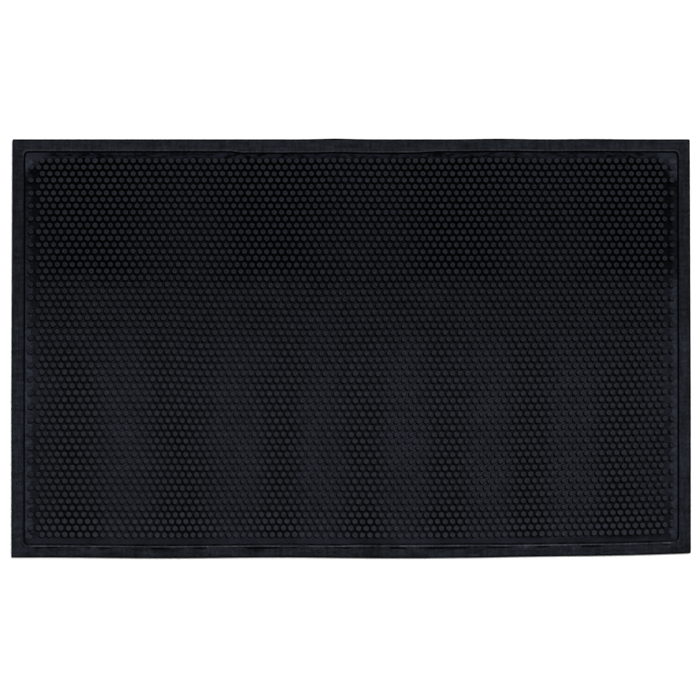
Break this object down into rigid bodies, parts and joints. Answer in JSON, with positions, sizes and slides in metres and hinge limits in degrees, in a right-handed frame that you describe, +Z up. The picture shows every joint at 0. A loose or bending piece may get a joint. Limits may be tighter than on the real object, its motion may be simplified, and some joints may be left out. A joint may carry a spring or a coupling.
{
  "type": "door mat",
  "caption": "Flat black rubber door mat with a plain border band, a groove, and a panel of upright round studs in staggered rows.",
  "frame": {"origin": "middle of the mat's underside, on the ground", "axes": "+X along the mat's length, +Y from front to back, +Z up out of the studs"},
  "size_m": [0.75, 0.462, 0.009],
  "materials": {
    "sheet_rubber": "matt moulded rubber",
    "border_rubber": "matt blue-black moulded rubber with a fine grain",
    "stud_rubber": "matt blue-black moulded rubber, slightly shiny on the stud tips"
  },
  "bodies": {
    "root": {"base_sheet": "sheet_rubber", "border_frame": "border_rubber", "stud_row_01": "stud_rubber", "stud_row_02": "stud_rubber", "stud_row_03": "stud_rubber", "stud_row_04": "stud_rubber", "stud_row_05": "stud_rubber", "stud_row_06": "stud_rubber", "stud_row_07": "stud_rubber", "stud_row_08": "stud_rubber", "stud_row_09": "stud_rubber", "stud_row_10": "stud_rubber", "stud_row_11": "stud_rubber", "stud_row_12": "stud_rubber", "stud_row_13": "stud_rubber", "stud_row_14": "stud_rubber", "stud_row_15": "stud_rubber", "stud_row_16": "stud_rubber", "stud_row_17": "stud_rubber", "stud_row_18": "stud_rubber", "stud_row_19": "stud_rubber", "stud_row_20": "stud_rubber", "stud_row_21": "stud_rubber", "stud_row_22": "stud_rubber", "stud_row_23": "stud_rubber", "stud_row_24": "stud_rubber", "stud_row_25": "stud_rubber", "stud_row_26": "stud_rubber", "stud_row_27": "stud_rubber", "stud_row_28": "stud_rubber", "stud_row_29": "stud_rubber", "stud_row_30": "stud_rubber", "stud_row_31": "stud_rubber", "stud_row_32": "stud_rubber", "stud_row_33": "stud_rubber", "stud_row_34": "stud_rubber", "stud_row_35": "stud_rubber", "stud_row_36": "stud_rubber", "stud_row_37": "stud_rubber", "stud_row_38": "stud_rubber", "stud_row_39": "stud_rubber", "stud_row_40": "stud_rubber", "stud_row_41": "stud_rubber", "stud_row_42": "stud_rubber", "stud_row_43": "stud_rubber", "stud_row_44": "stud_rubber", "stud_row_45": "stud_rubber", "stud_row_46": "stud_rubber", "stud_row_47": "stud_rubber", "stud_row_48": "stud_rubber", "stud_row_49": "stud_rubber", "stud_row_50": "stud_rubber", "stud_row_51": "stud_rubber", "stud_row_52": "stud_rubber", "stud_row_53": "stud_rubber", "stud_row_54": "stud_rubber", "stud_row_55": "stud_rubber", "stud_row_56": "stud_rubber", "stud_row_57": "stud_rubber"}
  },
  "joints": []
}
